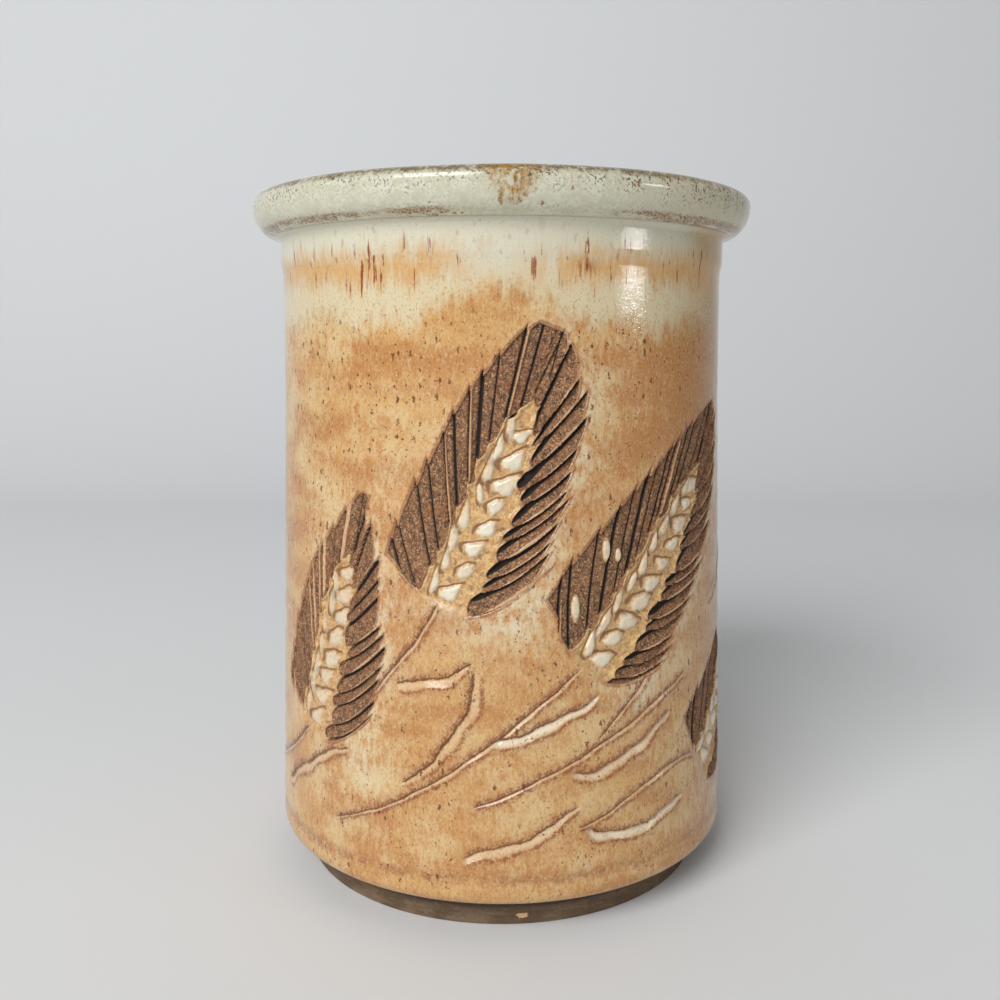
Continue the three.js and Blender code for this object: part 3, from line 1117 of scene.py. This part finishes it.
def linerMaterial():
    look = linerLook
    material, place = newMaterial("cream liner glaze")
    patch = place.stretched((1, 1, 0.4)).noise(0.012, 3)
    base = patch.step(0.4, 0.66).blend(look["warm"], look["cream"])
    base = base.layered(look, (place.spots(0.0045, 0.5, 0.05, 0.12) * 0.7, "speck"))
    closeMaterial(place, {"Base Color": base, "Roughness": look["roughness"]})
    return material


def glazedLiner():
    skin = linerSkin(*liner["steps"])
    back = insetProfile(skin, crock["coatDepth"])[::-1]
    ringed = skin.copy()
    heights = skin[:, 1] / mm
    fade = smooth(20, 30, heights) * smooth(137, 128, heights)
    rings = 0.5 + 0.5 * np.sin(2 * np.pi * heights / liner["ringPitch"])
    ringed[:, 0] -= liner["ringDepth"] * mm * fade * rings
    back[0, 0] = 0
    bm = spinProfile(np.vstack([ringed, back]), liner["turns"], False)
    makePiece("glazed_liner", bm, linerMaterial(), "cream_liner_glaze")


glazedLiner()


# Clay: foot ring, underside and the core behind the coats
clay = {
    "turns": 180,
    "cell": 6,
    "neckCell": 3,
    "rimSteps": 8,
    "linerSteps": (12, 8, 4),
    "edgeSteps": 4,
    "ringBevel": 0.3,
    "undercutLip": 0.4,
}
clayLook = {
    "clay": tone(97, 77, 57),
    # Dark for the band high on the foot: partly painted shadow, partly a darker tone of the clay
    "dark": tone(62, 45, 34),
    "pale": tone(128, 106, 82),
    "chip": tone(214, 172, 124),
    "roughness": 0.9,
}


def clayMaterial():
    look = clayLook
    material, place = newMaterial("bare clay")
    height = place.axis("Z")
    patch = place.noise(0.006, 3)
    turned = place.stretched((0.12, 0.12, 1)).noise(0.0007)
    fine = place.noise(0.0008, 3, 0.65)
    base = (patch * 0.4 + fine * 0.3 + turned * 0.3).step(0.4, 0.62).blend(look["clay"], look["pale"])
    # Darker band high on the foot under the glaze edge: partly painted shadow, partly a darker tone of the
    # clay
    upper = (height + patch.sway(2)).step(3.2, 5)
    chip = (place.axis("X") + fine.sway(1.5)).hump(4.6, 1.9) * (height + fine.sway(1)).hump(2.2, 0.9)
    base = base.layered(
        look,
        (upper * 0.85 + 0.1, "dark"),
        (place.spots(0.0016, 0.35, 0.1, 0.24) * 0.5, "pale"),
        (chip.step(0.15, 0.35) * (1 - place.axis("Y").step(-40, -30)), "chip"),
    )
    bump = (turned * 0.6 + place.noise(0.0006) * 0.6).bump(0.5, 0.0003)
    closeMaterial(place, {"Base Color": base, "Roughness": look["roughness"], "Normal": bump})
    return material


def clayCore():
    ringInner = crock["footRadius"] - crock["footRingWidth"]
    edge = crock["footEdge"]
    corner = quarterRound((crock["footRadius"] - edge, edge), edge, edge, -90, clay["edgeSteps"])
    heights = wallHeights(clay["cell"] * mm, clay["neckCell"] * mm)
    back = wallRadius(heights) - crock["carvedDepth"] - crock["bond"]
    behindWall = np.column_stack([back, heights])[3:]
    lipRadius = float(wallRadius(crock["glazeLine"])) - clay["undercutLip"] * mm
    lipHeight = crock["glazeLine"] - crock["bond"]
    skin = np.vstack([rimSkin(clay["rimSteps"]), linerSkin(*clay["linerSteps"])])
    bevel = clay["ringBevel"] * mm
    profile = np.vstack(
        [
            [(0, crock["footHollow"]), (ringInner - crock["footHollow"], crock["footHollow"])],
            [(ringInner - bevel, bevel), (ringInner + bevel, 0)],
            corner,
            [(crock["footRadius"], crock["footHeight"]), (lipRadius, lipHeight)],
            [(behindWall[0][0], lipHeight)],
            behindWall,
            insetProfile(skin, crock["coatDepth"] + crock["bond"]),
        ]
    )
    bm = spinProfile(profile, clay["turns"], False)
    makePiece("clay_foot_and_core", bm, clayMaterial(), "clay_body")


clayCore()


# Studio
studio = {
    "floorSize": 5,
    "sweepStart": 0.55,
    "sweepRound": 0.35,
    "sweepHeight": 2,
    "floor": tone(230, 232, 233),
    "floorRoughness": 0.8,
    "backdrop": tone(210, 210, 210),
    "ambient": 0.36,
    "keyPower": 31,
    "keySize": 1.1,
    "keyPlace": (-0.8, -1.35, 1.1),
    "windowGlow": 44,
    "windowPlace": (0.607, -0.277, 0.185),
    "windowSize": (0.15, 0.0105),
    "aim": (0, 0, 0.09),
}


def floorSweep():
    material, place = newMaterial("pale floor")
    closeMaterial(place, {"Base Color": studio["floor"], "Roughness": studio["floorRoughness"]})
    bm = bmesh.new()
    half = studio["floorSize"] / 2
    back = studio["sweepStart"] + studio["sweepRound"]
    path = [(-half, -half, 0), (-half, back, 0), (-half, back, studio["sweepHeight"])]
    verts = [bm.verts.new(point) for point in path]
    edges = [bm.edges.new(pair) for pair in zip(verts, verts[1:])]
    swept = bmesh.ops.extrude_edge_only(bm, edges=edges)["geom"]
    moved = [item for item in swept if isinstance(item, bmesh.types.BMVert)]
    bmesh.ops.translate(bm, verts=moved, vec=(2 * half, 0, 0))
    bend = [edge for edge in bm.edges if all(vert.co.z == 0 and vert.co.y > 0 for vert in edge.verts)]
    bmesh.ops.bevel(
        bm, geom=bend, offset=studio["sweepRound"], affect="EDGES", segments=24, profile=0.5, material=-1
    )
    floor = makeObject("floor", bm, material)


def softLight(name, place, size, power):
    data = bpy.data.lights.new(name, "AREA")
    data.shape = "RECTANGLE"
    data.size, data.size_y = size
    data.energy = power
    lamp = bpy.data.objects.new(name, data)
    lamp.location = place
    lamp.rotation_euler = (Vector(studio["aim"]) - Vector(place)).to_track_quat("-Z", "Y").to_euler()
    bpy.context.scene.collection.objects.link(lamp)


def paleWorld():
    world = bpy.data.worlds.new("studio")
    world.use_nodes = True
    world.node_tree.nodes.clear()
    shade = Wire(world.node_tree)
    seen = shade.node("LightPath", output="Is Camera Ray")
    level = seen * (1 - studio["ambient"]) + studio["ambient"]
    light = shade.node("Background", None, {"Color": studio["backdrop"], "Strength": level})
    shade.node("OutputWorld", None, {"Surface": light})
    bpy.context.scene.world = world


camera = {
    "place": (0, -0.27105, 0.12903),
    "pitch": -5.29,
    "lens": 37.41,
    "shift": (-0.0015, -0.06),
}


def aimCamera():
    data = bpy.data.cameras.new("camera")
    data.lens = camera["lens"]
    data.sensor_width = 36
    data.shift_x, data.shift_y = camera["shift"]
    data.clip_start = 0.01
    viewer = bpy.data.objects.new("camera", data)
    viewer.location = camera["place"]
    viewer.rotation_euler = (math.radians(90 + camera["pitch"]), 0, 0)
    bpy.context.scene.collection.objects.link(viewer)
    bpy.context.scene.camera = viewer


floorSweep()
softLight("key", studio["keyPlace"], (studio["keySize"], studio["keySize"]), studio["keyPower"])
windowPower = studio["windowGlow"] * math.pi * math.prod(studio["windowSize"])
softLight("window 1", studio["windowPlace"], studio["windowSize"], windowPower)
paleWorld()
aimCamera()
bpy.context.scene.view_settings.view_transform = "Standard"
print("studio ready")
